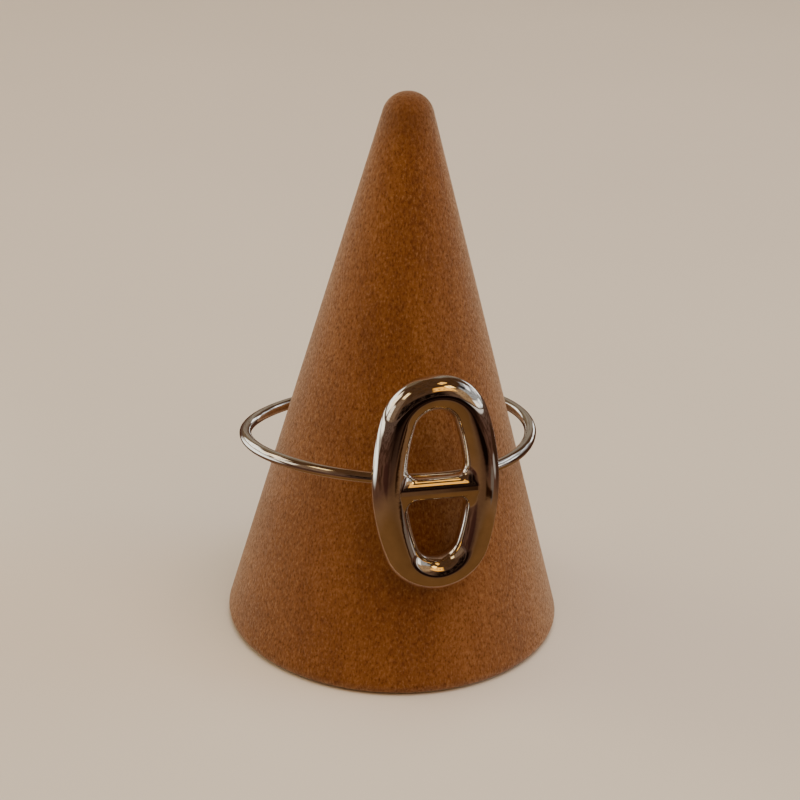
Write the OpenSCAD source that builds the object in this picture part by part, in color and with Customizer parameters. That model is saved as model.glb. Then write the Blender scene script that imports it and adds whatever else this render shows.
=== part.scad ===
// Chain link ring on a cone stand.
// The ring is a thin round wire band with one puffed oval chain link soldered across its front.
// It hangs on a small turned wooden cone, tipped back so that its front is the higher side.
// Millimetres, +Z up, the cone's base centre at the origin, the link faces -Y.

/* [Band] */
// Inner width of the band from side to side
finger_w = 17.5; // [15:0.1:21]
// Inner depth of the band from front to back
finger_depth = 16.3; // [14:0.1:20]
// Thickness of the round wire
wire_d = 0.75; // [0.6:0.05:1.2]
// How far the band waves up and down at its quarters
band_twist = 0.24; // [0:0.01:0.4]
// Turn of the band's wave from the link
twist_turn = -17; // [-45:1:45]

/* [Link] */
// Outer width of the link
link_w = 7.8; // [6.8:0.1:9]
// Outer height of the link
link_h = 13.9; // [12:0.1:16]
// Thickness of the link's round tube
tube_d = 2.1; // [1.9:0.05:2.3]
// Bend of the link's ends as a share of its half width
end_share = 0.8; // [0.65:0.01:0.95]
// Height of the flattened cross bar
bar_h = 1.45; // [1.35:0.05:1.7]
// Thickness of the cross bar from front to back
bar_t = 1.2; // [1:0.05:1.3]
// How far the cross bar's front lies behind the sides' fronts
bar_inset = 0.1; // [0.05:0.05:0.3]
// How far the cross bar sits below the link's middle
bar_drop = 0.1; // [0:0.05:0.6]
// Turn of the cross bar in the link's plane, its right side up
bar_turn = -3.5; // [-4:0.5:4]
// How far short of the sides' middles the bar's flared ends stop
flare_short = 0.15; // [0.15:0.01:0.25]
// Inner radius of the corners where the cross bar meets the sides
corner_r = 0.6; // [0.3:0.05:0.8]
// How deep the band's wire sits in the back of the link's right side
seat_depth = 0.1; // [0.05:0.01:0.2]
// How far the link's middle hangs below the band
link_drop = 0.21; // [0:0.01:0.5]
// Lean of the link's top away from the cone
link_lean = 4; // [0:0.5:8]
// Turn of the link in its own plane, its right side up
link_spin = 3.2; // [-5:0.1:5]
// Turn of the link about the upright, its face to the left
link_yaw = 2.5; // [0:0.5:4]

/* [Cone] */
// Width of the cone's foot before its edge is rounded
cone_base_d = 22; // [20:0.5:30]
// Height of the cone
cone_h = 35.3; // [32:0.1:50]
// Radius of the rounded tip
tip_r = 1.6; // [1:0.1:2.5]
// Radius of the foot's rounded edge
edge_r = 0.6; // [0.2:0.1:1.2]

/* [Ring on the cone] */
// The ring's middle to the right of the cone's axis
ring_x = -0.77; // [-1:0.01:1]
// The ring's middle behind the cone's axis
ring_y = -0.4; // [-0.6:0.01:0.2]
// Tip of the ring, its front up
ring_tilt = 5.5; // [0:0.1:8]
// Tip of the ring, its left side up
ring_roll = 0.6; // [-2:0.1:2]
// Gap where the ring rests on the cone
rest_gap = 0.04; // [0.02:0.01:0.1]

/* [Hidden] */
$fn = 96;

// Growth of the small balls that close the joints between bends
weld = 0.002;

// Band centreline, with no joint behind the link
band_rx = (finger_w + wire_d)/2;
band_ry = (finger_depth + wire_d)/2;
band_bends = 4;
bend_step = 360/band_bends;
bend_from = bend_step/4 - 90;

// Link centreline, an oval of four arcs
rim_a = (link_w - tube_d)/2;
rim_b = (link_h - tube_d)/2;
end_r = end_share*rim_a;
side_r = (rim_a^2 - end_r^2 + (rim_b - end_r)^2)/(2*(rim_a - end_r));
side_angle = atan2(rim_b - end_r, side_r - rim_a);
corner_bend = corner_r + bar_h/2;
flare_x = rim_a - flare_short - corner_bend;
bar_ahead = (tube_d - bar_t)/2 - bar_inset;

// The band curves away from the link, and the link's turn brings its right side forward
side_x = rim_a*cos(link_yaw);
band_fall = band_ry*(1 - sqrt(1 - (side_x/band_rx)^2));
link_ahead = (tube_d + wire_d)/2 - band_fall - seat_depth - rim_a*sin(link_yaw);

// Cone profile
cone_r = cone_base_d/2;
half_angle = atan(cone_r/(cone_h - tip_r)) - asin(tip_r/norm([cone_r, cone_h - tip_r]));
tip_z = cone_h - tip_r;
edge_x = cone_r - edge_r*(1 + sin(half_angle))/cos(half_angle);

// Turns about the axes
function turn_x(a) = [[1, 0, 0], [0, cos(a), -sin(a)], [0, sin(a), cos(a)]];
function turn_y(a) = [[cos(a), 0, sin(a)], [0, 1, 0], [-sin(a), 0, cos(a)]];
function turn_z(a) = [[cos(a), -sin(a), 0], [sin(a), cos(a), 0], [0, 0, 1]];
ring_turn = turn_y(ring_roll)*turn_x(-ring_tilt);
link_turn = turn_z(-link_yaw)*turn_x(90 + link_lean)*turn_z(link_spin);
link_at = [0, -band_ry - link_ahead, -link_drop];

// Points of the band and of the link's lower half, in the ring's own frame
function unit(v) = v/norm(v);
function band_point(t) = [band_rx*cos(t), band_ry*sin(t), band_twist*sin(2*(t - twist_turn))];
function band_heading(t) = unit([-band_rx*sin(t), band_ry*cos(t), 2*band_twist*cos(2*(t - twist_turn))]);
function side_point(a) = [rim_a - side_r + side_r*cos(a), -side_r*sin(a), 0];
function end_point(a) = [end_r*cos(a), end_r - rim_b - end_r*sin(a), 0];
function on_link(p) = link_at + link_turn*p;

// Height at which the lowest of them rests on the cone
function flank_gap(p) = (norm([p[0] + ring_x, p[1] + ring_y]) - cone_r + p[2]*tan(half_angle))*cos(half_angle);
band_gap = min([for (t = [0:1:359]) flank_gap(ring_turn*band_point(t))]) - wire_d/2;
side_gap = min([for (s = [-1, 1], a = [0:1:side_angle]) let(p = side_point(a))
    flank_gap(ring_turn*on_link([s*p[0], p[1], 0]))]) - tube_d/2;
end_gap = min([for (a = [0:1:180]) flank_gap(ring_turn*on_link(end_point(a)))]) - tube_d/2;
ring_z = (rest_gap - min(band_gap, side_gap, end_gap))/sin(half_angle);

// A bent round bar with a ball at its far end
module bent_bar(bend_r, d, from, to) {
    rotate_extrude(angle = to - from, start = from)
        translate([bend_r, 0])
            circle(d = d);
    rotate([0, 0, to])
        translate([bend_r, 0, 0])
            sphere(d = d + 2*weld);
}

// One bend of the band from a point, along its heading, to a joint
module band_bend(p, heading, joint) {
    chord = joint - p;
    inward = unit(chord - (chord*heading)*heading);
    bend_r = chord*chord/(2*(chord*inward));
    middle = p + bend_r*inward;
    up = cross(-inward, heading);
    multmatrix([
        [-inward[0], heading[0], up[0], middle[0]],
        [-inward[1], heading[1], up[1], middle[1]],
        [-inward[2], heading[2], up[2], middle[2]],
        [0, 0, 0, 1]
    ])
        bent_bar(bend_r, wire_d, 0, 2*atan2(chord*inward, chord*heading));
}

// Length of the two tangents that join two points by a pair of smooth bends
function tangent_length(v, t0, t1) =
    let(along = v*(t0 + t1), spread = 2*(1 - t0*t1))
    (sqrt(along^2 + spread*(v*v)) - along)/spread;

// Thin round wire band
module band() {
    for (k = [0:band_bends - 1]) {
        t = bend_from + k*bend_step;
        p0 = band_point(t);
        p1 = band_point(t + bend_step);
        t0 = band_heading(t);
        t1 = band_heading(t + bend_step);
        reach = tangent_length(p1 - p0, t0, t1);
        joint = (p0 + p1 + reach*(t0 - t1))/2;
        band_bend(p0, t0, joint);
        band_bend(p1, -t1, joint);
        translate(p0)
            sphere(d = wire_d + 2*weld);
    }
}

// Puffed oval rim of the link
module rim() {
    for (turn = [0, 180])
        rotate([0, 0, turn]) {
            translate([rim_a - side_r, 0])
                bent_bar(side_r, tube_d, -side_angle, side_angle);
            translate([0, rim_b - end_r])
                bent_bar(end_r, tube_d, side_angle, 180 - side_angle);
        }
}

// Section of the cross bar, flat in front and behind and round above and below
module bar_section(slimmer) {
    square([bar_h - bar_t, bar_t - slimmer], center = true);
    for (side = [-1, 1])
        translate([side*(bar_h - bar_t)/2, 0])
            circle(d = bar_t - slimmer);
}

// Cross bar with its ends flared into the sides
module bar() {
    rotate([90, 0, 90])
        linear_extrude(height = 2*rim_a, center = true)
            bar_section(0);
    for (right = [0, 1], top = [0, 1])
        mirror([right, 0, 0])
            mirror([0, top, 0])
                translate([flare_x, corner_bend])
                    rotate_extrude(angle = 90, start = -90)
                        translate([corner_bend, 0])
                            bar_section(2*weld);
}

// Link standing across the front of the band
module link() {
    translate(link_at)
        rotate([90 + link_lean, 0, -link_yaw])
            rotate([0, 0, link_spin]) {
                rim();
                translate([0, -bar_drop, bar_ahead])
                    rotate([0, 0, bar_turn])
                        bar();
            }
}

// Soldered ring, one piece of metal
module link_ring() {
    color([0.80, 0.79, 0.77])
        translate([ring_x, ring_y, ring_z])
            rotate([-ring_tilt, ring_roll, 0])
                union() {
                    band();
                    link();
                }
}

// Turned wooden cone with a rounded tip and a softened foot
module cone_stand() {
    color([0.70, 0.46, 0.28])
        rotate_extrude()
            intersection() {
                union() {
                    polygon([
                        [0, 0],
                        [edge_x, 0],
                        [edge_x, edge_r],
                        [edge_x + edge_r*cos(half_angle), edge_r + edge_r*sin(half_angle)],
                        [tip_r*cos(half_angle), tip_z + tip_r*sin(half_angle)],
                        [0, tip_z + tip_r*sin(half_angle)]
                    ]);
                    translate([edge_x, edge_r])
                        circle(r = edge_r);
                    translate([0, tip_z])
                        circle(r = tip_r);
                }
                square([cone_base_d, cone_h + tip_r]);
            }
}

link_ring();
cone_stand();
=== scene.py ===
"""Looks of a chain link ring on its cone stand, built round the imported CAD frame.

The ring is one smooth skin of polished metal, and the stand is a turned wooden cone.
Both are made in the CAD model's own frame, in metres, and replace its plain solids.
"""

import logging
import math
from dataclasses import dataclass, field
from enum import Enum

import bpy
import numpy as np
from mathutils import Matrix, Vector

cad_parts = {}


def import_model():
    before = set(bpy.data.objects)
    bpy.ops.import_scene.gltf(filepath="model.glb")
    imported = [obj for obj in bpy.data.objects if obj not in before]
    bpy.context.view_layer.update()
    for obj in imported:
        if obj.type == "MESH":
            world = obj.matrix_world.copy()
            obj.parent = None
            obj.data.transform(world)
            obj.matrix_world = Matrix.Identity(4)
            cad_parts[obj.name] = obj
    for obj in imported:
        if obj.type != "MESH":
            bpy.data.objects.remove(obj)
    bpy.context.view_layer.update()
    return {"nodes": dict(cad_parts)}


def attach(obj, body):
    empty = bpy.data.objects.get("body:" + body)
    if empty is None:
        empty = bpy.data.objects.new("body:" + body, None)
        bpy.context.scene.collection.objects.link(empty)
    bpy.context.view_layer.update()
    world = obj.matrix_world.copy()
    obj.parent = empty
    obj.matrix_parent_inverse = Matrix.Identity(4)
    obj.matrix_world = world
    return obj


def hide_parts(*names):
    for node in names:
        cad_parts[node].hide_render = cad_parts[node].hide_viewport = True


log = logging.getLogger("scene")

Colour = tuple[float, float, float]
Pair = tuple[float, float]
Fade = tuple[Pair, Pair]
Socket = bpy.types.NodeSocket
Value = float | Socket

MM = 0.001
LEAST_LENGTH = 1e-6
LEAST_REACH = 1e-5


class Slot(Enum):
    """Material slots of the record."""

    METAL = "polished_silver"
    WOOD = "turned_wood"


class Node(Enum):
    """Nodes of the CAD model."""

    RING = "link_ring"
    CONE = "cone_stand"


class Sum(Enum):
    """Sums that a shader works out."""

    ADD = "ADD"
    SUBTRACT = "SUBTRACT"
    MULTIPLY = "MULTIPLY"
    ROOT = "SQRT"
    SIZE_ONLY = "ABSOLUTE"
    ARC_SINE = "ARCSINE"
    ARC_TANGENT = "ARCTAN2"


def unit(v: np.ndarray) -> np.ndarray:
    """The vector at length one."""
    return v / np.linalg.norm(v)


def turn_about(axis: int, degrees: float) -> np.ndarray:
    """Rotation matrix about one axis.

    Args:
        axis: 0, 1 or 2 for X, Y or Z.
        degrees: the angle, by the right-hand rule.

    Returns:
        A 3 by 3 matrix.
    """
    c, s = math.cos(math.radians(degrees)), math.sin(math.radians(degrees))
    i, j = (axis + 1) % 3, (axis + 2) % 3
    m = np.eye(3)
    m[i, i], m[i, j], m[j, i], m[j, j] = c, -s, s, c
    return m


def soft_min(a: np.ndarray, b: np.ndarray, reach: float | np.ndarray) -> np.ndarray:
    """Least of two distances with a rounded corner between them.

    Args:
        a: distances to the first form.
        b: distances to the second form.
        reach: how far apart the two may be and still blend, in mm, one value or one a point.

    Returns:
        The blended distances.
    """
    h = np.maximum(reach - np.abs(a - b), 0.0) / reach
    return np.minimum(a, b) - h * h * reach / 4.0


@dataclass(frozen=True)
class Arc:
    """Part of a circle in space, in mm.

    Attributes:
        centre: the circle's centre.
        start: unit vector from the centre to the first point.
        heading: unit tangent at the first point.
        radius: the circle's radius.
        turn: the angle that the arc covers, in radians.
    """

    centre: np.ndarray
    start: np.ndarray
    heading: np.ndarray
    radius: float
    turn: float

    @classmethod
    def to_joint(cls, point: np.ndarray, heading: np.ndarray, joint: np.ndarray) -> "Arc":
        """Arc from a point, along its heading, that ends at a joint.

        Args:
            point: where it starts.
            heading: unit tangent there.
            joint: where it ends.

        Returns:
            The arc.
        """
        chord = joint - point
        inward = unit(chord - chord.dot(heading) * heading)
        radius = chord.dot(chord) / (2 * chord.dot(inward))
        turn = 2 * math.atan2(chord.dot(inward), chord.dot(heading))
        return cls(point + radius * inward, -inward, heading, radius, turn)

    @classmethod
    def flat(cls, x: float, y: float, radius: float, first: float, last: float) -> "Arc":
        """Arc in the XY plane.

        Args:
            x: the centre's x.
            y: the centre's y.
            radius: the radius.
            first: angle of the first point, in radians.
            last: angle of the last point, in radians.

        Returns:
            The arc.
        """
        c, s = math.cos(first), math.sin(first)
        start, heading = np.array([c, s, 0.0]), np.array([-s, c, 0.0])
        return cls(np.array([x, y, 0.0]), start, heading, radius, last - first)

    def parts(self, points: np.ndarray) -> tuple[np.ndarray, np.ndarray, np.ndarray]:
        """Way from the arc's nearest point to each point, in parts.

        Args:
            points: an N by 3 array.

        Returns:
            Its parts along the start, along the heading and across both, N values each.
        """
        rel = points - self.centre
        a, b = rel @ self.start, rel @ self.heading
        up = rel @ np.cross(self.start, self.heading)
        half = self.turn / 2
        off = (np.arctan2(b, a) - half + math.pi) % (2 * math.pi) - math.pi
        angle = np.clip(off, -half, half) + half
        return a - self.radius * np.cos(angle), b - self.radius * np.sin(angle), up

    def distance(self, points: np.ndarray) -> np.ndarray:
        """Distance of each point to the arc."""
        a, b, up = self.parts(points)
        return np.sqrt(a * a + b * b + up * up)

    def way(self, points: np.ndarray) -> np.ndarray:
        """Way from the arc's nearest point to each point.

        Args:
            points: an N by 3 array.

        Returns:
            An N by 3 array.
        """
        axes = (self.start, self.heading, np.cross(self.start, self.heading))
        return sum(part[:, None] * axis for part, axis in zip(self.parts(points), axes))


@dataclass(frozen=True)
class BandSizes:
    """Sizes of the wire band, in mm and degrees, as in the CAD source.

    Attributes:
        inner_width: inner width from side to side.
        inner_depth: inner depth from front to back.
        wire: thickness of the wire.
        twist: how far the band waves up and down.
        twist_turn: turn of the wave from the link.
        bends: how many points the chain of arcs runs through.
    """

    inner_width: float = 17.5
    inner_depth: float = 16.3
    wire: float = 0.75
    twist: float = 0.24
    twist_turn: float = -17.0
    bends: int = 4

    @property
    def half_width(self) -> float:
        """Half width of the wire's centreline."""
        return (self.inner_width + self.wire) / 2

    @property
    def half_depth(self) -> float:
        """Half depth of the wire's centreline."""
        return (self.inner_depth + self.wire) / 2

    def point(self, degrees: float) -> np.ndarray:
        """Point of the centreline.

        Args:
            degrees: its angle round the ring, from the right side.

        Returns:
            The point in the ring's own frame, in mm.
        """
        t, w = math.radians(degrees), math.radians(2 * (degrees - self.twist_turn))
        x, y = self.half_width * math.cos(t), self.half_depth * math.sin(t)
        return np.array([x, y, self.twist * math.sin(w)])

    def heading(self, degrees: float) -> np.ndarray:
        """Unit tangent of the centreline.

        Args:
            degrees: the angle round the ring, from the right side.

        Returns:
            The tangent in the ring's own frame.
        """
        t, w = math.radians(degrees), math.radians(2 * (degrees - self.twist_turn))
        x, y = -self.half_width * math.sin(t), self.half_depth * math.cos(t)
        return unit(np.array([x, y, 2 * self.twist * math.cos(w)]))

    def arcs(self) -> list[Arc]:
        """Smooth chain of arcs round the band, a pair between each two points.

        Returns:
            The arcs in the ring's own frame, with no joint behind the link.
        """
        step = 360 / self.bends
        chain = []
        for k in range(self.bends):
            t = step / 4 - 90 + k * step
            p0, p1 = self.point(t), self.point(t + step)
            t0, t1 = self.heading(t), self.heading(t + step)
            along = (p1 - p0).dot(t0 + t1)
            spread = 2 * (1 - t0.dot(t1))
            reach = (math.sqrt(along**2 + spread * (p1 - p0).dot(p1 - p0)) - along) / spread
            joint = (p0 + p1 + reach * (t0 - t1)) / 2
            chain.append(Arc.to_joint(p0, t0, joint))
            chain.append(Arc.to_joint(p1, -t1, joint))
        return chain


@dataclass(frozen=True)
class LinkSizes:
    """Sizes of the chain link, in mm and degrees, as in the CAD source.

    Attributes:
        width: outer width.
        height: outer height.
        tube: thickness of the rim's round tube.
        end_share: bend of the ends as a share of the half width.
        bar_height: height of the cross bar.
        bar_thick: thickness of the cross bar from front to back.
        bar_ahead: how far the bar's middle lies ahead of the rim's.
        bar_drop: how far the bar sits below the link's middle.
        bar_turn: turn of the bar in the link's plane.
        ahead: how far the link's middle lies ahead of the band.
        drop: how far the link's middle hangs below the band.
        lean: lean of the link's top away from the cone.
        spin: turn of the link in its own plane.
        yaw: turn of the link about the upright.
    """

    width: float = 7.8
    height: float = 13.9
    tube: float = 2.1
    end_share: float = 0.8
    bar_height: float = 1.45
    bar_thick: float = 1.2
    bar_ahead: float = 0.35
    bar_drop: float = 0.1
    bar_turn: float = -3.5
    ahead: float = 0.775
    drop: float = 0.21
    lean: float = 4.0
    spin: float = 3.2
    yaw: float = 2.5

    @property
    def half_width(self) -> float:
        """Half width of the rim's centreline."""
        return (self.width - self.tube) / 2

    @property
    def half_height(self) -> float:
        """Half height of the rim's centreline."""
        return (self.height - self.tube) / 2

    def rim_arcs(self) -> list[Arc]:
        """Four arcs of the rim's oval, in the link's own plane.

        Returns:
            The arcs, two for the sides and two for the ends.
        """
        a, b = self.half_width, self.half_height
        end = self.end_share * a
        side = (a * a - end * end + (b - end) ** 2) / (2 * (a - end))
        angle = math.atan2(b - end, side - a)
        return [
            Arc.flat(a - side, 0.0, side, -angle, angle),
            Arc.flat(0.0, b - end, end, angle, math.pi - angle),
            Arc.flat(side - a, 0.0, side, math.pi - angle, math.pi + angle),
            Arc.flat(0.0, end - b, end, math.pi + angle, 2 * math.pi - angle),
        ]

    def rim_gap(self, points: np.ndarray) -> tuple[np.ndarray, np.ndarray]:
        """Distance of points to the rim's skin.

        Args:
            points: an N by 3 array in the link's own frame.

        Returns:
            N distances, below zero inside the rim, and the outward directions.
        """
        ways = np.stack([arc.way(points) for arc in self.rim_arcs()])
        lengths = np.linalg.norm(ways, axis=2)
        nearest, each = lengths.argmin(axis=0), np.arange(len(points))
        length = lengths[nearest, each]
        way = ways[nearest, each] / np.maximum(length, LEAST_LENGTH)[:, None]
        return length - self.tube / 2, way

    def bar_gap(self, points: np.ndarray) -> tuple[np.ndarray, np.ndarray]:
        """Distance of points to the cross bar's skin, without the blend at its ends.

        Args:
            points: an N by 3 array in the link's own frame.

        Returns:
            N distances, below zero inside the bar, and the outward directions.
        """
        turn = turn_about(2, self.bar_turn)
        local = (points - [0.0, -self.bar_drop, self.bar_ahead]) @ turn
        flat = (self.bar_height - self.bar_thick) / 2
        core = np.clip(local, [-self.half_width, -flat, 0.0], [self.half_width, flat, 0.0])
        length = np.linalg.norm(local - core, axis=1)
        way = (local - core) / np.maximum(length, LEAST_LENGTH)[:, None]
        return length - self.bar_thick / 2, way @ turn.T


@dataclass(frozen=True)
class RingPlace:
    """Where the ring hangs on the cone, in mm and degrees, as in the CAD source.

    Attributes:
        x: the ring's middle to the right of the cone's axis.
        y: the ring's middle behind the cone's axis.
        z: the height of the ring's middle.
        tilt: tip of the ring, its front up.
        roll: tip of the ring, its left side up.
    """

    x: float = -0.77
    y: float = -0.4
    z: float = 13.411
    tilt: float = 5.5
    roll: float = 0.6

    @property
    def turn(self) -> np.ndarray:
        """Rotation from the ring's own frame to the model's."""
        return turn_about(1, self.roll) @ turn_about(0, -self.tilt)

    @property
    def at(self) -> np.ndarray:
        """The ring's middle in the model's frame."""
        return np.array([self.x, self.y, self.z])


@dataclass
class RingForm:
    """The ring's skin as a distance, with soft solder joints between its parts.

    Attributes:
        band: sizes of the wire band.
        link: sizes of the link.
        bar_blend: reach of the blend between cross bar and rim, in mm.
        bar_crossing: how far their skins turn from each other at the full blend.
        solder_blend: reach of the blend between link and band, in mm.
        look: how far the slope is looked for to each side, in mm.
        longest_step: the most that a point moves in one round, in mm.
        least_slope: least square of the slope that a step is divided by.
        band_arcs: arcs of the band.
        link_turn: rotation from the link's own frame to the ring's.
        link_at: the link's middle in the ring's own frame.
    """

    band: BandSizes
    link: LinkSizes
    bar_blend: float = 0.75
    bar_crossing: float = 1.0
    solder_blend: float = 0.26
    look: float = 0.002
    longest_step: float = 0.06
    least_slope: float = 0.2
    band_arcs: list[Arc] = field(init=False)
    link_turn: np.ndarray = field(init=False)
    link_at: np.ndarray = field(init=False)

    def __post_init__(self) -> None:
        """Works out the arcs and the link's place."""
        self.band_arcs = self.band.arcs()
        upright = turn_about(2, -self.link.yaw) @ turn_about(0, 90 + self.link.lean)
        self.link_turn = upright @ turn_about(2, self.link.spin)
        self.link_at = np.array([0.0, -self.band.half_depth - self.link.ahead, -self.link.drop])

    def gap(self, points: np.ndarray) -> np.ndarray:
        """Distance of points to the ring's skin. Bar and rim blend only where their skins cross.

        Args:
            points: an N by 3 array in the ring's own frame, in mm.

        Returns:
            N distances, below zero inside the metal.
        """
        band = np.min([a.distance(points) for a in self.band_arcs], axis=0) - self.band.wire / 2
        local = (points - self.link_at) @ self.link_turn
        rim, rim_way = self.link.rim_gap(local)
        bar, bar_way = self.link.bar_gap(local)
        crossing = np.clip((1 - (rim_way * bar_way).sum(1)) / self.bar_crossing, 0.0, 1.0)
        reach = self.bar_blend * crossing * crossing * (3 - 2 * crossing) + LEAST_REACH
        link = soft_min(rim, bar, reach)
        return soft_min(link, band, self.solder_blend)

    def slope(self, points: np.ndarray) -> np.ndarray:
        """Gradient of the distance, from the four corners of a small tetrahedron.

        Args:
            points: an N by 3 array in mm.

        Returns:
            An N by 3 array.
        """
        corners = np.array([[1, -1, -1], [-1, -1, 1], [-1, 1, -1], [1, 1, 1]], float)
        return sum(self.gap(points + self.look * c)[:, None] * c for c in corners) / (4 * self.look)

    def settle(self, points: np.ndarray, rounds: int) -> np.ndarray:
        """Moves points onto the skin.

        Args:
            points: an N by 3 array in mm.
            rounds: how many steps each point takes.

        Returns:
            The moved points.
        """
        for _ in range(rounds):
            slope = self.slope(points)
            step = self.gap(points) / np.maximum((slope**2).sum(1), self.least_slope)
            step = np.clip(step, -self.longest_step, self.longest_step)
            points = points - step[:, None] * slope
        return points


class MeshWork:
    """Small helpers that turn arrays into Blender meshes."""

    @staticmethod
    def to_object(name: str, points: np.ndarray, faces: list[np.ndarray]) -> bpy.types.Object:
        """Makes a mesh object.

        Args:
            name: the object's name.
            points: an N by 3 array of corners.
            faces: arrays of corner numbers, one array for each number of sides.

        Returns:
            The object, linked to the scene.
        """
        mesh = bpy.data.meshes.new(name)
        mesh.vertices.add(len(points))
        mesh.vertices.foreach_set("co", points.astype(np.float32).ravel())
        counts = np.concatenate([np.full(len(f), f.shape[1]) for f in faces])
        mesh.loops.add(int(counts.sum()))
        loops = np.concatenate([f.ravel() for f in faces])
        mesh.loops.foreach_set("vertex_index", loops.astype(np.int32))
        mesh.polygons.add(len(counts))
        starts = np.concatenate([[0], np.cumsum(counts)[:-1]])
        mesh.polygons.foreach_set("loop_start", starts.astype(np.int32))
        mesh.update(calc_edges=True)
        mesh.validate()
        mesh.polygons.foreach_set("use_smooth", np.ones(len(mesh.polygons), bool))
        piece = bpy.data.objects.new(name, mesh)
        bpy.context.collection.objects.link(piece)
        return piece

    @staticmethod
    def square(name: str, half: float, height: float) -> bpy.types.Object:
        """Makes a level square about the frame's origin.

        Args:
            name: the object's name.
            half: half the length of a side, in metres.
            height: its height, in metres.

        Returns:
            The object, linked to the scene.
        """
        corners = [(-half, -half, height), (half, -half, height), (half, half, height), (-half, half, height)]
        return MeshWork.to_object(name, np.array(corners), [np.array([[0, 1, 2, 3]])])

    @staticmethod
    def corners(mesh: bpy.types.Mesh) -> np.ndarray:
        """Corners of a mesh.

        Args:
            mesh: the mesh.

        Returns:
            An N by 3 array.
        """
        out = np.empty(len(mesh.vertices) * 3, np.float32)
        mesh.vertices.foreach_get("co", out)
        return out.reshape(-1, 3).astype(float)

    @staticmethod
    def even_skin(
        source: bpy.types.Object, points: np.ndarray, voxel: float
    ) -> tuple[np.ndarray, np.ndarray]:
        """Covers a closed mesh with quads of one size.

        Args:
            source: the object whose faces are used.
            points: its corners, moved and scaled as wanted.
            voxel: length of a quad's side.

        Returns:
            The new corners, and the quads as corner numbers.
        """
        mesh = source.data.copy()
        mesh.vertices.foreach_set("co", points.astype(np.float32).ravel())
        trial = bpy.data.objects.new("trial", mesh)
        bpy.context.collection.objects.link(trial)
        skin = trial.modifiers.new("skin", "REMESH")
        skin.mode = "VOXEL"
        skin.voxel_size = voxel
        done = trial.evaluated_get(bpy.context.evaluated_depsgraph_get()).to_mesh()
        corners = MeshWork.corners(done)
        quads = np.empty(len(done.loops), np.int32)
        done.loops.foreach_get("vertex_index", quads)
        bpy.data.objects.remove(trial)
        bpy.data.meshes.remove(mesh)
        return corners, quads.reshape(-1, 4)

    @staticmethod
    def eased(points: np.ndarray, quads: np.ndarray) -> np.ndarray:
        """Each corner moved half way to the middle of its neighbours.

        Args:
            points: an N by 3 array.
            quads: the faces, as corner numbers.

        Returns:
            The moved corners.
        """
        a = quads.ravel()
        b = np.roll(quads, -1, axis=1).ravel()
        size = len(points)
        count = np.bincount(a, minlength=size) + np.bincount(b, minlength=size)
        totals = [np.bincount(a, points[b, k], size) + np.bincount(b, points[a, k], size) for k in range(3)]
        return 0.5 * points + 0.5 * np.stack(totals, axis=1) / np.maximum(count, 1)[:, None]


@dataclass(frozen=True)
class Grain:
    """Noise over a place.

    Attributes:
        scale: grains for each unit of the place, which is a mm on an object.
        detail: how many finer layers it holds.
        roughness: how strong they are.
        stretch: factors for X, Y and Z of the place.
    """

    scale: float
    detail: float
    roughness: float
    stretch: Colour = (1.0, 1.0, 1.0)


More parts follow.
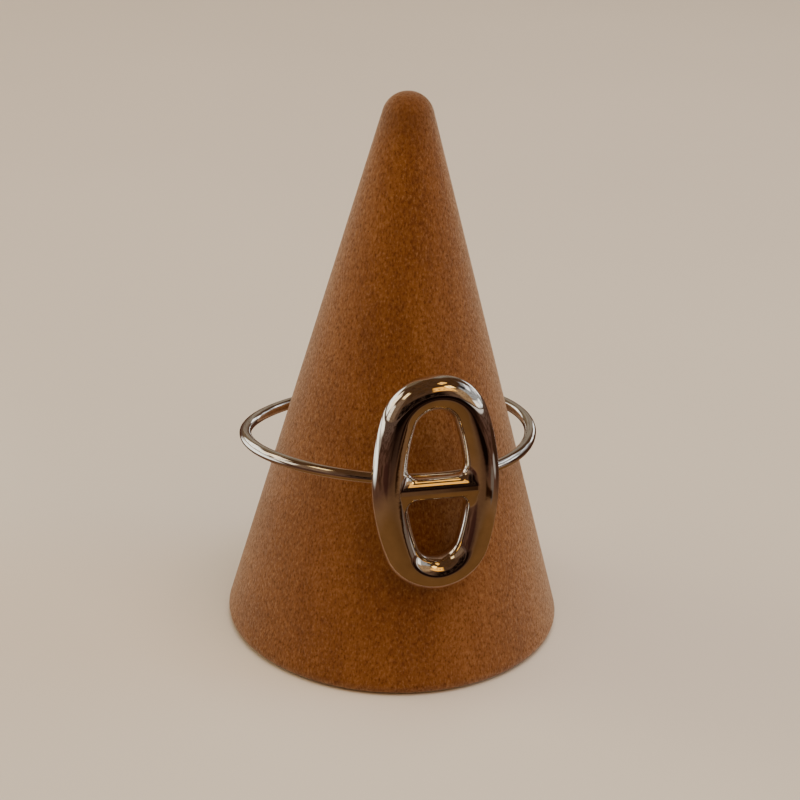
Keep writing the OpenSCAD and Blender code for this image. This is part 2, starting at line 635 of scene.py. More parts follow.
class Shader:
    """Node tree of one material or of the surroundings, with short ways to add nodes."""

    def __init__(self, tree: bpy.types.NodeTree) -> None:
        """Takes the tree that the nodes are added to.

        Args:
            tree: the node tree.
        """
        self.nodes = tree.nodes
        self.links = tree.links
        self.surface = tree.nodes.get("Principled BSDF")
        self.material: bpy.types.Material | None = None

    @classmethod
    def for_material(cls, name: str) -> "Shader":
        """Makes a material with its surface shader.

        Args:
            name: the material's name.

        Returns:
            The helper for its nodes.
        """
        material = bpy.data.materials.new(name)
        material.use_nodes = True
        made = cls(material.node_tree)
        made.material = material
        return made

    def place_mm(self, stretch: Colour = (1.0, 1.0, 1.0)) -> Socket:
        """Place on the object in mm, stretched along each axis.

        Args:
            stretch: factors for X, Y and Z.

        Returns:
            A vector socket.
        """
        where = self.nodes.new("ShaderNodeTexCoord")
        scale = self.nodes.new("ShaderNodeVectorMath")
        scale.operation = "MULTIPLY"
        scale.inputs[1].default_value = [s / MM for s in stretch]
        self.links.new(where.outputs["Object"], scale.inputs[0])
        return scale.outputs[0]

    def axes(self, where: Socket) -> tuple[Socket, Socket, Socket]:
        """The X, Y and Z of a vector.

        Args:
            where: the vector socket.

        Returns:
            Three value sockets.
        """
        split = self.nodes.new("ShaderNodeSeparateXYZ")
        self.links.new(where, split.inputs[0])
        return tuple(split.outputs)

    def noise(self, where: Socket, grain: Grain) -> Socket:
        """Noise over a place, which isn't stretched here.

        Args:
            where: the vector socket.
            grain: the noise.

        Returns:
            A socket from 0 to 1.
        """
        node = self.nodes.new("ShaderNodeTexNoise")
        node.inputs["Scale"].default_value = grain.scale
        node.inputs["Detail"].default_value = grain.detail
        node.inputs["Roughness"].default_value = grain.roughness
        self.links.new(where, node.inputs["Vector"])
        return node.outputs["Fac"]

    def grain(self, grain: Grain) -> Socket:
        """Noise over the object, stretched as it says."""
        return self.noise(self.place_mm(grain.stretch), grain)

    def ramp(self, value: Socket, stops: tuple[tuple[float, Colour], ...]) -> Socket:
        """Colour by value.

        Args:
            value: a socket from 0 to 1.
            stops: places from 0 to 1 with their linear colours.

        Returns:
            A colour socket.
        """
        node = self.nodes.new("ShaderNodeValToRGB")
        band = node.color_ramp.elements
        while len(band) < len(stops):
            band.new(0.5)
        for element, (at, colour) in zip(band, stops):
            element.position = at
            element.color = (*colour, 1.0)
        self.links.new(value, node.inputs["Fac"])
        return node.outputs["Color"]

    def fade(self, value: Socket, fade: Fade) -> Socket:
        """Grey that fades from one level to another.

        Args:
            value: a socket from 0 to 1.
            fade: the value where it starts with the level there, then where it ends.

        Returns:
            A grey colour socket.
        """
        return self.ramp(value, tuple((at, (level,) * 3) for at, level in fade))

    def sum_of(self, kind: Sum, a: Value, b: Value = 0.0) -> Socket:
        """Result of a sum.

        Args:
            kind: which sum.
            a: a socket or a number.
            b: a socket or a number, unused by the sums of one value.

        Returns:
            A value socket.
        """
        node = self.nodes.new("ShaderNodeMath")
        node.operation = kind.value
        for value, into in zip((a, b), node.inputs):
            if isinstance(value, Socket):
                self.links.new(value, into)
            else:
                into.default_value = value
        return node.outputs[0]

    def blend_of(self, parts: tuple[tuple[Socket, float], ...]) -> Socket:
        """Sockets added up, each with its share.

        Args:
            parts: the sockets with their shares.

        Returns:
            A value socket.
        """
        shares = [self.sum_of(Sum.MULTIPLY, socket, share) for socket, share in parts]
        total = shares[0]
        for share in shares[1:]:
            total = self.sum_of(Sum.ADD, total, share)
        return total

    def oval(self, where: tuple[Socket, Socket], middle: Pair, size: Pair) -> Socket:
        """Distance from a middle as a share of an oval's size.

        Args:
            where: sockets of x and y.
            middle: the oval's middle.
            size: its half width and half depth.

        Returns:
            A value socket that is 1 on the oval.
        """
        squares = []
        for part, at, half in zip(where, middle, size):
            share = self.sum_of(Sum.MULTIPLY, self.sum_of(Sum.SUBTRACT, part, at), 1 / half)
            squares.append(self.sum_of(Sum.MULTIPLY, share, share))
        return self.sum_of(Sum.ROOT, self.sum_of(Sum.ADD, *squares))

    def near(self, value: Socket, middle: float, full: float, none: float) -> Socket:
        """How near a value is to a middle, with soft edges.

        Args:
            value: the socket.
            middle: where it is 1.
            full: how far from the middle it stays 1.
            none: how far from the middle it reaches 0.

        Returns:
            A socket from 0 to 1.
        """
        off = self.sum_of(Sum.SIZE_ONLY, self.sum_of(Sum.SUBTRACT, value, middle))
        node = self.nodes.new("ShaderNodeMapRange")
        node.interpolation_type = "SMOOTHSTEP"
        node.inputs["From Min"].default_value = full
        node.inputs["From Max"].default_value = none
        node.inputs["To Min"].default_value = 1.0
        node.inputs["To Max"].default_value = 0.0
        self.links.new(off, node.inputs["Value"])
        return node.outputs["Result"]

    def tint(self, amount: Socket, base: Socket, colour: Colour) -> Socket:
        """A colour mixed over another.

        Args:
            amount: how much of the new colour, from 0 to 1.
            base: the colour below.
            colour: the new linear colour.

        Returns:
            A colour socket.
        """
        node = self.nodes.new("ShaderNodeMix")
        node.data_type = "RGBA"
        self.links.new(amount, node.inputs[0])
        self.links.new(base, node.inputs[6])
        node.inputs[7].default_value = (*colour, 1.0)
        return node.outputs[2]

    def relief(self, height: Socket, depth_mm: float, strength: float) -> None:
        """Fine relief on the surface.

        Args:
            height: a socket from 0 to 1.
            depth_mm: how deep the relief is, in mm.
            strength: how much of it shows.
        """
        node = self.nodes.new("ShaderNodeBump")
        node.inputs["Distance"].default_value = depth_mm * MM
        node.inputs["Strength"].default_value = strength
        self.links.new(height, node.inputs["Height"])
        self.links.new(node.outputs["Normal"], self.surface.inputs["Normal"])

    def shine(self, colour: Socket) -> None:
        """Makes the surface give off a colour and nothing else.

        Args:
            colour: the colour socket.
        """
        glow = self.nodes.new("ShaderNodeEmission")
        self.links.new(colour, glow.inputs["Color"])
        self.links.new(glow.outputs[0], self.nodes["Material Output"].inputs["Surface"])


@dataclass(frozen=True)
class PolishedSilver:
    """Bright polished silver with faint handling marks.

    Attributes:
        colour: the clean metal.
        dull_colour: the metal where it is handled most.
        roughness: least and most roughness.
        cloud: dull and clean areas.
        clean_from: the cloud's values of the dull and of the clean metal.
        marks: handling marks.
        mark_fade: how much roughness they let show.
        dents: shallow dents.
        dent_depth: depth of the dents, in mm.
        dent_strength: how much of the dents shows.
    """

    colour: Colour = (0.86, 0.84, 0.81)
    dull_colour: Colour = (0.74, 0.71, 0.67)
    roughness: Pair = (0.02, 0.09)
    cloud: Grain = Grain(0.55, 3.0, 0.55)
    clean_from: Pair = (0.35, 0.62)
    marks: Grain = Grain(9.0, 2.0, 0.6, (1.0, 1.0, 0.25))
    mark_fade: Fade = ((0.45, 0.3), (0.75, 1.0))
    dents: Grain = Grain(1.3, 3.0, 0.5)
    dent_depth: float = 0.004
    dent_strength: float = 0.6

    def build(self) -> bpy.types.Material:
        """Makes the material.

        Returns:
            A metal whose gloss and tone change a little from place to place.
        """
        s = Shader.for_material("polished_silver")
        cloud = s.grain(self.cloud)
        marks = s.grain(self.marks)
        tone = s.ramp(cloud, tuple(zip(self.clean_from, (self.dull_colour, self.colour))))
        s.links.new(tone, s.surface.inputs["Base Color"])
        low, high = self.roughness
        wear = s.sum_of(Sum.MULTIPLY, cloud, s.fade(marks, self.mark_fade))
        rough = s.sum_of(Sum.ADD, s.sum_of(Sum.MULTIPLY, wear, high - low), low)
        s.links.new(rough, s.surface.inputs["Roughness"])
        s.surface.inputs["Metallic"].default_value = 1.0
        s.relief(s.grain(self.dents), self.dent_depth, self.dent_strength)
        return s.material


@dataclass(frozen=True)
class TurnedWood:
    """Fine sanded wood with short dark and light flecks along the grain and a pale bloom.

    Attributes:
        dark: the darkest growth bands.
        middle: the wood between.
        pale: the palest growth bands.
        dark_fleck: short dark flecks.
        pale_fleck: short pale flecks.
        crown: the worn tip.
        cloud: broad clouds.
        growth: growth bands.
        fibre: fibres.
        fleck: flecks.
        shares: how much cloud, growth and fibre show in the colour.
        tones_from: their mixed values of the dark, middle and pale wood.
        dark_fade: how much the dark flecks show.
        pale_fade: how much the pale flecks show.
        crown_fade: how much the wear shows on the fibres.
        crown_height: middle of the worn tip, in mm.
        crown_reach: how far the wear is full and where it ends, in mm.
        roughness: least roughness, and how much the fibres add.
        gloss: how much the surface mirrors.
        bloom: colour of the sanded nap at grazing angles.
        bloom_fade: how strong it is, from dark to pale flecks.
        bloom_spread: how far it spreads from the edges.
        relief_depth: depth of the fibres, in mm.
        relief_strength: how much of it shows.
    """

    dark: Colour = (0.120, 0.034, 0.003)
    middle: Colour = (0.170, 0.053, 0.005)
    pale: Colour = (0.23, 0.086, 0.017)
    dark_fleck: Colour = (0.082, 0.022, 0.002)
    pale_fleck: Colour = (0.27, 0.115, 0.030)
    crown: Colour = (0.100, 0.030, 0.004)
    cloud: Grain = Grain(0.16, 3.0, 0.55, (1.0, 1.0, 0.3))
    growth: Grain = Grain(0.75, 2.0, 0.5, (1.0, 0.35, 0.12))
    fibre: Grain = Grain(4.6, 4.0, 0.75, (1.0, 1.0, 0.5))
    fleck: Grain = Grain(8.0, 3.0, 0.7, (1.0, 1.0, 0.5))
    shares: tuple[float, float, float] = (0.24, 0.22, 0.54)
    tones_from: tuple[float, float, float] = (0.38, 0.5, 0.62)
    dark_fade: Fade = ((0.34, 0.9), (0.46, 0.0))
    pale_fade: Fade = ((0.55, 0.0), (0.68, 0.7))
    crown_fade: Fade = ((0.3, 0.9), (0.7, 0.4))
    crown_height: float = 36.0
    crown_reach: Pair = (1.2, 4.5)
    roughness: Pair = (0.62, 0.2)
    gloss: float = 0.12
    bloom: Colour = (1.0, 0.85, 0.68)
    bloom_fade: Fade = ((0.36, 0.20), (0.66, 0.60))
    bloom_spread: float = 0.53
    relief_depth: float = 0.035
    relief_strength: float = 0.7

    def tone(self, s: Shader, fibre: Socket, fleck: Socket) -> Socket:
        """Colour of the wood.

        Args:
            s: the material's nodes.
            fibre: noise of the fibres.
            fleck: noise of the flecks.

        Returns:
            A colour socket.
        """
        layers = (s.grain(self.cloud), s.grain(self.growth), fibre)
        mixed = s.blend_of(tuple(zip(layers, self.shares)))
        colour = s.ramp(mixed, tuple(zip(self.tones_from, (self.dark, self.middle, self.pale))))
        colour = s.tint(s.fade(fleck, self.dark_fade), colour, self.dark_fleck)
        colour = s.tint(s.fade(fleck, self.pale_fade), colour, self.pale_fleck)
        height = s.axes(s.place_mm())[2]
        worn = s.near(height, self.crown_height, *self.crown_reach)
        worn = s.sum_of(Sum.MULTIPLY, worn, s.fade(fibre, self.crown_fade))
        return s.tint(worn, colour, self.crown)

    def build(self) -> bpy.types.Material:
        """Makes the material.

        Returns:
            A matt wood with growth bands, flecks, fibres and a worn tip.
        """
        s = Shader.for_material("turned_wood")
        fibre = s.grain(self.fibre)
        fleck = s.grain(self.fleck)
        s.links.new(self.tone(s, fibre, fleck), s.surface.inputs["Base Color"])
        least, added = self.roughness
        rough = s.sum_of(Sum.ADD, s.sum_of(Sum.MULTIPLY, fibre, added), least)
        s.links.new(rough, s.surface.inputs["Roughness"])
        s.surface.inputs["Specular IOR Level"].default_value = self.gloss
        s.links.new(s.fade(fleck, self.bloom_fade), s.surface.inputs["Sheen Weight"])
        s.surface.inputs["Sheen Roughness"].default_value = self.bloom_spread
        s.surface.inputs["Sheen Tint"].default_value = (*self.bloom, 1.0)
        s.relief(s.sum_of(Sum.ADD, fleck, fibre), self.relief_depth, self.relief_strength)
        return s.material


@dataclass
class LinkRing:
    """The soldered ring: wire band, puffed rim and cross bar in one skin.

    Attributes:
        band: sizes of the wire band.
        link: sizes of the link.
        place: where the ring hangs.
        finish: the metal.
        voxel: length of a quad's side, in mm.
        first_rounds: steps onto the form before the quads are evened out.
        ease_rounds: how often the quads are evened out, with a step each time.
        last_rounds: steps onto the form after it.
    """

    band: BandSizes = BandSizes()
    link: LinkSizes = LinkSizes()
    place: RingPlace = RingPlace()
    finish: PolishedSilver = PolishedSilver()
    voxel: float = 0.075
    first_rounds: int = 3
    ease_rounds: int = 3
    last_rounds: int = 2

    def skin(self, node: bpy.types.Object) -> tuple[np.ndarray, np.ndarray, np.ndarray]:
        """Even quads over the CAD node, settled on the ring's exact form.

        Args:
            node: the CAD node of the ring.

        Returns:
            The corners in mm and their normals, both in the ring's own frame, and the quads.
        """
        form = RingForm(self.band, self.link)
        to_model = np.array(node.matrix_world, float)
        rough = MeshWork.corners(node.data) @ to_model[:3, :3].T + to_model[:3, 3]
        local = (rough / MM - self.place.at) @ self.place.turn
        points, quads = MeshWork.even_skin(node, local, self.voxel)
        points = form.settle(points, self.first_rounds)
        for _ in range(self.ease_rounds):
            points = form.settle(MeshWork.eased(points, quads), 1)
        points = form.settle(points, self.last_rounds)
        normals = form.slope(points)
        normals /= np.linalg.norm(normals, axis=1)[:, None]
        log.info("ring skin lies within %.4f mm of its form", abs(form.gap(points)).max())
        return points, normals, quads

    def build(self, node: bpy.types.Object) -> bpy.types.Object:
        """Makes the ring's skin from its CAD node.

        Args:
            node: the CAD node of the ring.

        Returns:
            The finished piece.
        """
        points, normals, quads = self.skin(node)
        in_model = (points @ self.place.turn.T + self.place.at) * MM
        piece = MeshWork.to_object("ring_metal", in_model, [quads])
        piece.data.normals_split_custom_set_from_vertices((normals @ self.place.turn.T).tolist())
        piece.data.materials.append(self.finish.build())
        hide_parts(Node.RING.value)
        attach(piece, "root")
        return piece


@dataclass
class ConeStand:
    """The turned wooden cone, in mm.

    Attributes:
        base: width of the foot before its edge is rounded.
        height: height of the cone.
        tip: radius of the rounded tip.
        edge: radius of the foot's rounded edge.
        around: how many corners go round the cone.
        foot_steps: steps from the foot's middle to its edge.
        edge_steps: corners over the foot's edge.
        flank_steps: steps up the flank.
        tip_steps: corners over the tip.
        finish: the wood.
    """

    base: float = 22.0
    height: float = 35.3
    tip: float = 1.6
    edge: float = 0.6
    around: int = 400
    foot_steps: int = 14
    edge_steps: int = 12
    flank_steps: int = 170
    tip_steps: int = 24
    finish: TurnedWood = TurnedWood()

    def profile(self) -> np.ndarray:
        """Half profile from the foot's middle to the tip, without those two points.

        Returns:
            An N by 2 array of radius and height.
        """
        radius, tip_z = self.base / 2, self.height - self.tip
        half = math.atan(radius / tip_z) - math.asin(self.tip / math.hypot(radius, tip_z))
        edge_x = radius - self.edge * (1 + math.sin(half)) / math.cos(half)
        rows = [(edge_x * k / self.foot_steps, 0.0) for k in range(1, self.foot_steps)]
        for a in np.linspace(-math.pi / 2, half, self.edge_steps):
            rows.append((edge_x + self.edge * math.cos(a), self.edge * (1 + math.sin(a))))
        low, high = rows[-1], (self.tip * math.cos(half), tip_z + self.tip * math.sin(half))
        for k in range(1, self.flank_steps):
            t = k / self.flank_steps
            rows.append((low[0] + t * (high[0] - low[0]), low[1] + t * (high[1] - low[1])))
        for a in np.linspace(half, math.pi / 2, self.tip_steps)[:-1]:
            rows.append((self.tip * math.cos(a), tip_z + self.tip * math.sin(a)))
        return np.array(rows)

    def faces(self, rows: int) -> list[np.ndarray]:
        """Quads between the rows of corners, and the triangles at foot and tip.

        Args:
            rows: how many rows of corners there are.

        Returns:
            The quads and the triangles, as corner numbers.
        """
        here = np.arange(self.around)
        after = (here + 1) % self.around
        quads = []
        for k in range(rows - 1):
            low, high = k * self.around, (k + 1) * self.around
            quads.append(np.stack([low + here, low + after, high + after, high + here], axis=1))
        count, last = rows * self.around, (rows - 1) * self.around
        foot = np.stack([after, here, np.full(self.around, count)], axis=1)
        top = np.stack([last + here, last + after, np.full(self.around, count + 1)], axis=1)
        return [np.concatenate(quads), np.concatenate([foot, top])]

    def build(self) -> bpy.types.Object:
        """Makes the cone.

        Returns:
            The finished piece.
        """
        rows = self.profile()
        angles = np.arange(self.around) * 2 * math.pi / self.around
        x, y = rows[:, :1] * np.cos(angles), rows[:, :1] * np.sin(angles)
        z = np.repeat(rows[:, 1:], self.around, axis=1)
        points = np.stack([x, y, z], axis=2).reshape(-1, 3)
        points = np.vstack([points, [[0, 0, 0], [0, 0, self.height]]])
        piece = MeshWork.to_object("cone_wood", points * MM, self.faces(len(rows)))
        piece.data.materials.append(self.finish.build())
        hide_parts(Node.CONE.value)
        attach(piece, "root")
        return piece


@dataclass(frozen=True)
class SoftBox:
    """A soft light that mirrored rays don't see.

    Attributes:
        name: the light's name.
        azimuth: its direction in degrees, 0 on the -Y side and 90 on the +X side.
        elevation: its height in degrees.
        distance: its distance in metres.
        width: its width in metres.
        height: its height in metres.
        power: its power in watts.
        colour: its linear colour.
    """

    name: str
    azimuth: float
    elevation: float
    distance: float
    width: float
    height: float
    power: float
    colour: Colour

    def build(self, target: Vector) -> None:
        """Makes the light, aimed at a point.

        Args:
            target: the point, in metres.
        """
        lamp = bpy.data.lights.new(self.name, "AREA")
        lamp.shape = "RECTANGLE"
        lamp.size, lamp.size_y = self.width, self.height
        lamp.energy = self.power
        lamp.color = self.colour
        piece = bpy.data.objects.new(self.name, lamp)
        bpy.context.collection.objects.link(piece)
        a, e = math.radians(self.azimuth), math.radians(self.elevation)
        away = Vector((math.sin(a) * math.cos(e), -math.cos(a) * math.cos(e), math.sin(e)))
        piece.location = target + away * self.distance
        piece.rotation_mode = "QUATERNION"
        piece.rotation_quaternion = away.to_track_quat("Z", "Y")
        piece.visible_glossy = False


@dataclass(frozen=True)
class Glow:
    """Soft patch of light or dark round the object.

    Attributes:
        azimuth: its direction in degrees, 0 on the -Y side and 90 on the +X side.
        elevation: its height in degrees.
        wide: half its width in degrees.
        high: half its height in degrees.
        soft: width of its soft edge in degrees.
        colour: its linear colour.
    """

    azimuth: float
    elevation: float
    wide: float
    high: float
    soft: float
    colour: Colour


@dataclass(frozen=True)
class Surroundings:
    """Dim warm light all round, with soft bright and dark patches for the metal to mirror.

    Attributes:
        level: the light at the object's own height.
        overhead: the light from above.
        overhead_from: the share of the way up where that light is full.
        shade: colour of the blotches under the patches.
        blotches: the blotches.
        blotch_fade: how much they show.
        streak: colour of the fine streaks over the patches.
        streaks: the streaks.
        streak_fade: how much they show.
        patches: the patches, the later ones over the earlier.
    """

    level: Colour = (0.14, 0.078, 0.048)
    overhead: Colour = (0.090, 0.040, 0.014)
    overhead_from: float = 0.75
    shade: Colour = (0.035, 0.015, 0.007)
    blotches: Grain = Grain(7.0, 3.0, 0.6)
    blotch_fade: Fade = ((0.38, 0.55), (0.55, 0.0))
    streak: Colour = (0.10, 0.055, 0.035)
    streaks: Grain = Grain(16.0, 3.0, 0.65)
    streak_fade: Fade = ((0.52, 0.0), (0.60, 0.7))
    patches: tuple[Glow, ...] = (
        Glow(-180, 30, 24, 18, 14, (0.22, 0.155, 0.090)),
        Glow(180, 30, 30, 18, 14, (0.34, 0.28, 0.21)),
        Glow(-74, 16, 10, 18, 14, (0.24, 0.150, 0.090)),
        Glow(-12, 5, 25, 13, 9, (0.005, 0.002, 0.001)),
        Glow(-98, 13, 8, 9, 6, (1.7, 1.45, 1.1)),
        Glow(-140, 15, 20, 9, 6, (2.3, 2.15, 1.85)),
        Glow(-78, 48, 9, 4, 5, (2.6, 1.8, 0.8)),
        Glow(-122, 28, 10, 10, 6, (2.40, 1.90, 1.25)),
        Glow(48, 16, 12, 15, 9, (0.46, 0.28, 0.14)),
        Glow(88, 19, 24, 17, 8, (0.46, 0.46, 0.45)),
        Glow(66, 5, 9, 2, 5, (2.1, 1.95, 1.75)),
        Glow(88, 5, 6, 3, 5, (1.9, 1.95, 1.95)),
        Glow(100, 29, 11, 2, 4, (1.9, 1.92, 1.95)),
        Glow(112, 15, 6, 2, 5, (1.1, 1.12, 1.15)),
        Glow(80, 38, 7, 3, 5, (0.03, 0.03, 0.035)),
        Glow(130, 3, 9, 5, 5, (2.3, 2.3, 2.2)),
        Glow(24, 38, 14, 8, 6, (1.9, 0.86, 0.13)),
        Glow(44, 46, 7, 3, 5, (4.2, 2.6, 0.80)),
        Glow(60, 67, 17, 3, 4, (2.4, 1.2, 0.24)),
    )

    def build(self) -> None:
        """Makes the surroundings."""
        world = bpy.data.worlds.new("room")
        bpy.context.scene.world = world
        world.use_nodes = True
        s = Shader(world.node_tree)
        where = s.nodes.new("ShaderNodeTexCoord").outputs["Generated"]
        x, y, z = s.axes(where)
        to_degrees = 180 / math.pi
        front = s.sum_of(Sum.MULTIPLY, y, -1.0)
        azimuth = s.sum_of(Sum.MULTIPLY, s.sum_of(Sum.ARC_TANGENT, x, front), to_degrees)
        elevation = s.sum_of(Sum.MULTIPLY, s.sum_of(Sum.ARC_SINE, z), to_degrees)
        colour = s.ramp(z, ((0.0, self.level), (self.overhead_from, self.overhead)))
        blotches = s.fade(s.noise(where, self.blotches), self.blotch_fade)
        colour = s.tint(blotches, colour, self.shade)
        for patch in self.patches:
            across = s.near(azimuth, patch.azimuth, patch.wide, patch.wide + patch.soft)
            upward = s.near(elevation, patch.elevation, patch.high, patch.high + patch.soft)
            colour = s.tint(s.sum_of(Sum.MULTIPLY, across, upward), colour, patch.colour)
        streaks = s.fade(s.noise(where, self.streaks), self.streak_fade)
        colour = s.tint(streaks, colour, self.streak)
        back = s.nodes["Background"]
        s.links.new(colour, back.inputs["Color"])
        back.inputs["Strength"].default_value = 1.0


@dataclass(frozen=True)
class Pool:
    """Soft oval pool of painted light or painted shade on the painted reflection board, in mm.

    Attributes:
        x: its middle's x.
        y: its middle's y.
        wide: its half width.
        deep: its half depth.
        soft: its soft edge as a share of its size.
        colour: its linear colour.
    """

    x: float
    y: float
    wide: float
    deep: float
    soft: float
    colour: Colour


@dataclass(frozen=True)
class PaintedReflectionBoard:
    """Surface just over the floor that only the polished metal sees, shining a painted reflection, warm near
    the cone.

    Attributes:
        half: half the length of its side, in metres.
        lift: its height over the floor, in metres.
        middle: middle of its rings of painted reflected tone, in mm.
        reach: radius of the last ring of tone, in mm.
        tones: shares of the reach with the linear colours of the painted reflection.
        shade: colour of the painted dark blotches past the warm part.
        blotches: the painted dark blotches.
        blotch_fade: how much they show.
        beyond_fade: how they start with the share of the reach.
        pools: the painted pools of light and shade, the later ones over the earlier.
        arc_radius: radius of the painted dark arc, in mm.
        arc_width: how far the arc is full and where it ends, in mm.
        arc_at: the place that the arc shows round, in mm.
        arc_reach: how far from there it is full and where it ends, in mm.
        arc_colour: the arc's linear colour.
    """

    half: float = 1.5
    lift: float = 0.0001
    middle: Pair = (2.0, -15.0)
    reach: float = 150.0
    # Painted reflection: warm tones near the cone, darker further out, paler at the far edge.
    tones: tuple[tuple[float, Colour], ...] = (
        (0.0, (0.162, 0.070, 0.020)),
        (0.135, (0.170, 0.076, 0.024)),
        (0.165, (0.200, 0.098, 0.042)),
        (0.215, (0.115, 0.052, 0.030)),
        (0.45, (0.105, 0.048, 0.030)),
        (1.0, (0.15, 0.092, 0.066)),
    )
    # Painted dark blotches in the reflection past the warm part.
    shade: Colour = (0.036, 0.013, 0.006)
    blotches: Grain = Grain(0.07, 3.0, 0.6)
    blotch_fade: Fade = ((0.42, 0.75), (0.56, 0.0))
    beyond_fade: Fade = ((0.19, 0.0), (0.27, 1.0))
    # Painted pools of light and shade that the metal mirrors.
    pools: tuple[Pool, ...] = (
        Pool(-30, -40, 9, 7, 0.8, (0.056, 0.020, 0.013)),
        Pool(-2, -60, 9, 9, 0.7, (0.115, 0.056, 0.033)),
        Pool(-62, 24, 28, 12, 0.9, (0.42, 0.34, 0.27)),
        Pool(0, -330, 110, 250, 0.25, (0.006, 0.002, 0.001)),
        Pool(320, -150, 180, 100, 0.45, (0.95, 0.86, 0.78)),
        Pool(-130, 120, 66, 80, 0.4, (2.1, 1.9, 1.55)),
        Pool(-42, 34, 17, 25, 0.5, (2.0, 1.95, 1.75)),
        Pool(21, -51, 10, 5, 0.9, (0.006, 0.002, 0.001)),
        Pool(32, -29, 6, 5, 0.8, (0.17, 0.125, 0.095)),
        Pool(47, -16, 6, 7, 0.8, (0.42, 0.36, 0.31)),
        Pool(60, 4, 18, 14, 0.8, (0.045, 0.018, 0.009)),
    )
    # Painted dark arc in the reflection.
    arc_radius: float = 27.5
    arc_width: Pair = (0.7, 2.4)
    arc_at: Pair = (19.0, -35.0)
    arc_reach: Pair = (9.0, 16.0)
    arc_colour: Colour = (0.022, 0.007, 0.002)

    def tone(self, s: Shader) -> Socket:
        """Colour of the board, a painted reflection with painted light and shade.

        Args:
            s: the material's nodes.

        Returns:
            A colour socket.
        """
        where = s.place_mm()
        level = s.axes(where)[:2]
        away = s.oval(level, self.middle, (self.reach, self.reach))
        colour = s.ramp(away, self.tones)
        blotches = s.fade(s.noise(where, self.blotches), self.blotch_fade)
        beyond = s.fade(away, self.beyond_fade)
        colour = s.tint(s.sum_of(Sum.MULTIPLY, blotches, beyond), colour, self.shade)
        # Painted pools of light and shade over the reflected tones.
        for pool in self.pools:
            oval = s.oval(level, (pool.x, pool.y), (pool.wide, pool.deep))
            colour = s.tint(s.near(oval, 0.0, 1.0, 1.0 + pool.soft), colour, pool.colour)
        # Painted dark arc over the reflection.
        rim = s.near(s.oval(level, self.middle, (1.0, 1.0)), self.arc_radius, *self.arc_width)
        there = s.near(s.oval(level, self.arc_at, (1.0, 1.0)), 0.0, *self.arc_reach)
        return s.tint(s.sum_of(Sum.MULTIPLY, rim, there), colour, self.arc_colour)

    def build(self) -> None:
        """Makes the board, which shines its painted reflection, hidden from all but mirrored rays."""
        board = MeshWork.square("painted_reflection_board", self.half, self.lift)
        s = Shader.for_material("painted_reflection_board")
        # The board shines its painted reflection, with painted light and shade, for mirrored rays only.
        s.shine(self.tone(s))
        board.data.materials.append(s.material)
        board.visible_camera = board.visible_diffuse = board.visible_shadow = False
        board.visible_transmission = board.visible_volume_scatter = False


@dataclass(frozen=True)
class PaleFloor:
    """The plain pale floor.

    Attributes:
        half: half the length of its side, in metres.
        colour: its linear colour.
        dimmed: how much of the colour its faint clouds keep.
        cloud: the clouds.
        clear_from: the cloud's values of the dimmed and of the full colour.
        roughness: its roughness.
        gloss: how much it mirrors.
    """

    half: float = 1.5
    colour: Colour = (0.72, 0.66, 0.58)
    dimmed: float = 0.97
    cloud: Grain = Grain(0.02, 2.0, 0.5)
    clear_from: Pair = (0.3, 0.7)
    roughness: float = 0.9
    gloss: float = 0.1

    def build(self) -> None:
        """Makes the floor."""
        floor = MeshWork.square("floor", self.half, 0.0)
        s = Shader.for_material("floor")
        dim = tuple(self.dimmed * c for c in self.colour)
        tone = s.ramp(s.grain(self.cloud), tuple(zip(self.clear_from, (dim, self.colour))))
        s.links.new(tone, s.surface.inputs["Base Color"])
        s.surface.inputs["Roughness"].default_value = self.roughness
        s.surface.inputs["Specular IOR Level"].default_value = self.gloss
        floor.data.materials.append(s.material)


@dataclass(frozen=True)
class RoundWall:
    """Plain round wall at the floor's edge, which only the camera sees.

    Attributes:
        radius: its radius, in metres.
        foot: height of its lower edge, in metres.
        height: its height, in metres.
        sides: how many flat sides it has.
        low: its linear colour at the floor.
        high: its linear colour a metre up.
    """

    radius: float = 1.45
    foot: float = -0.02
    height: float = 1.6
    sides: int = 96
    low: Colour = (0.50, 0.41, 0.32)
    high: Colour = (0.64, 0.56, 0.47)

    def build(self) -> None:
        """Makes the wall."""
        here = np.arange(self.sides)
        angles = here * 2 * math.pi / self.sides
        x, y = self.radius * np.cos(angles), self.radius * np.sin(angles)
        lower = np.stack([x, y, np.full(self.sides, self.foot)], axis=1)
        after = (here + 1) % self.sides
        quads = np.stack([here, here + self.sides, after + self.sides, after], axis=1)
        wall = MeshWork.to_object("wall", np.vstack([lower, lower + [0, 0, self.height]]), [quads])
        s = Shader.for_material("wall")
        height = s.axes(s.place_mm((MM, MM, MM)))[2]
        s.shine(s.ramp(height, ((0.0, self.low), (1.0, self.high))))
        wall.data.materials.append(s.material)
        wall.visible_diffuse = wall.visible_glossy = wall.visible_shadow = False
        wall.visible_transmission = wall.visible_volume_scatter = False


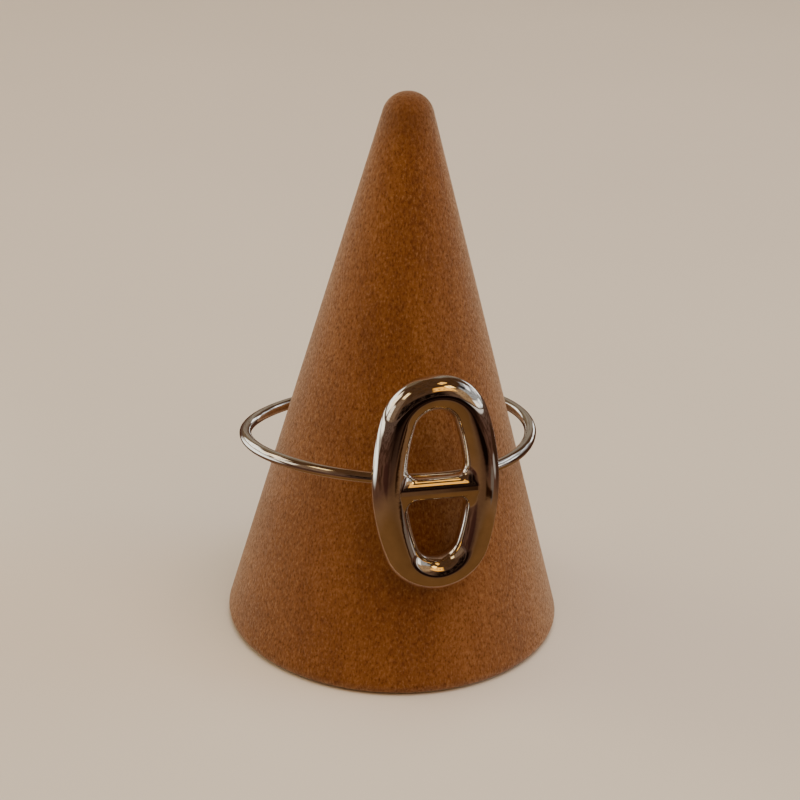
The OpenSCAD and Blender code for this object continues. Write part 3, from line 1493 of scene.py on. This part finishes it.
@dataclass(frozen=True)
class PhotoCamera:
    """Camera at the photograph's place and angle, in mm and degrees.

    Attributes:
        azimuth: where it stands, 0 on the -Y side and 90 on the +X side.
        far: its distance from the cone's axis.
        height: its height over the floor.
        yaw: its turn away from the cone's axis.
        pitch: how far it looks down.
        roll: its roll.
        lens: its focal length.
        sensor: its sensor's width.
        clip: nearest and farthest that it sees, in metres.
    """

    azimuth: float = -18.5
    far: float = 112.12
    height: float = 65.38
    yaw: float = 0.04
    pitch: float = 24.1
    roll: float = 1.91
    lens: float = 86.93
    sensor: float = 36.0
    clip: Pair = (0.005, 10.0)

    def build(self) -> None:
        """Makes the camera and takes it for the scene."""
        a = math.radians(self.azimuth)
        yaw, pitch, roll = (math.radians(v) for v in (self.yaw, self.pitch, self.roll))
        heading, level = yaw - a, math.cos(pitch)
        forward = Vector((math.sin(heading) * level, math.cos(heading) * level, -math.sin(pitch)))
        across = forward.cross(Vector((0, 0, 1))).normalized()
        upright = across.cross(forward)
        right = math.cos(roll) * across + math.sin(roll) * upright
        up = math.cos(roll) * upright - math.sin(roll) * across
        turn = Matrix((right, up, -forward)).transposed().to_4x4()
        eye = Vector((math.sin(a) * self.far, -math.cos(a) * self.far, self.height)) * MM
        data = bpy.data.cameras.new("camera")
        data.lens = self.lens
        data.sensor_width = self.sensor
        data.clip_start, data.clip_end = self.clip
        camera = bpy.data.objects.new("camera", data)
        bpy.context.collection.objects.link(camera)
        camera.matrix_world = Matrix.Translation(eye) @ turn
        bpy.context.scene.camera = camera


@dataclass(frozen=True)
class Studio:
    """Floor, wall, painted reflection board, surroundings, lights and camera.

    Attributes:
        floor: the pale floor.
        wall: the round wall.
        board: the board that shines a painted reflection for the metal.
        surroundings: what the metal mirrors from all round.
        lights: the soft lights.
        target: the point that they are aimed at, in metres.
        camera: the camera.
    """

    floor: PaleFloor = PaleFloor()
    wall: RoundWall = RoundWall()
    board: PaintedReflectionBoard = PaintedReflectionBoard()
    surroundings: Surroundings = Surroundings()
    lights: tuple[SoftBox, ...] = (
        SoftBox("top_lamp", 20, 80, 0.45, 0.40, 0.40, 2.0, (1.0, 0.93, 0.84)),
        SoftBox("front_fill", -12, 40, 0.55, 0.5, 0.3, 0.5, (1.0, 0.72, 0.42)),
        SoftBox("left_window", -112, 24, 0.55, 0.3, 0.3, 0.75, (1.0, 0.84, 0.56)),
        SoftBox("right_window", 74, 22, 0.55, 0.3, 0.3, 0.54, (0.76, 0.96, 1.26)),
    )
    target: tuple[float, float, float] = (0.0, 0.0, 0.015)
    camera: PhotoCamera = PhotoCamera()

    def build(self) -> None:
        """Makes the whole studio."""
        for part in (self.floor, self.wall, self.board, self.surroundings):
            part.build()
        for light in self.lights:
            light.build(Vector(self.target))
        self.camera.build()


def report(piece: bpy.types.Object) -> None:
    """Logs what a finished piece is made of.

    Args:
        piece: the finished piece.
    """
    mesh = piece.data
    triangles = len(mesh.loops) - 2 * len(mesh.polygons)
    log.info("%s: %d corners, %d triangles", piece.name, len(mesh.vertices), triangles)


def main() -> None:
    """Builds the scene in order and reports each piece."""
    logging.basicConfig(level=logging.INFO, format="%(message)s")
    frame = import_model()
    report(LinkRing().build(frame["nodes"][Node.RING.value]))
    report(ConeStand().build())
    Studio().build()


if __name__ == "__main__":
    main()
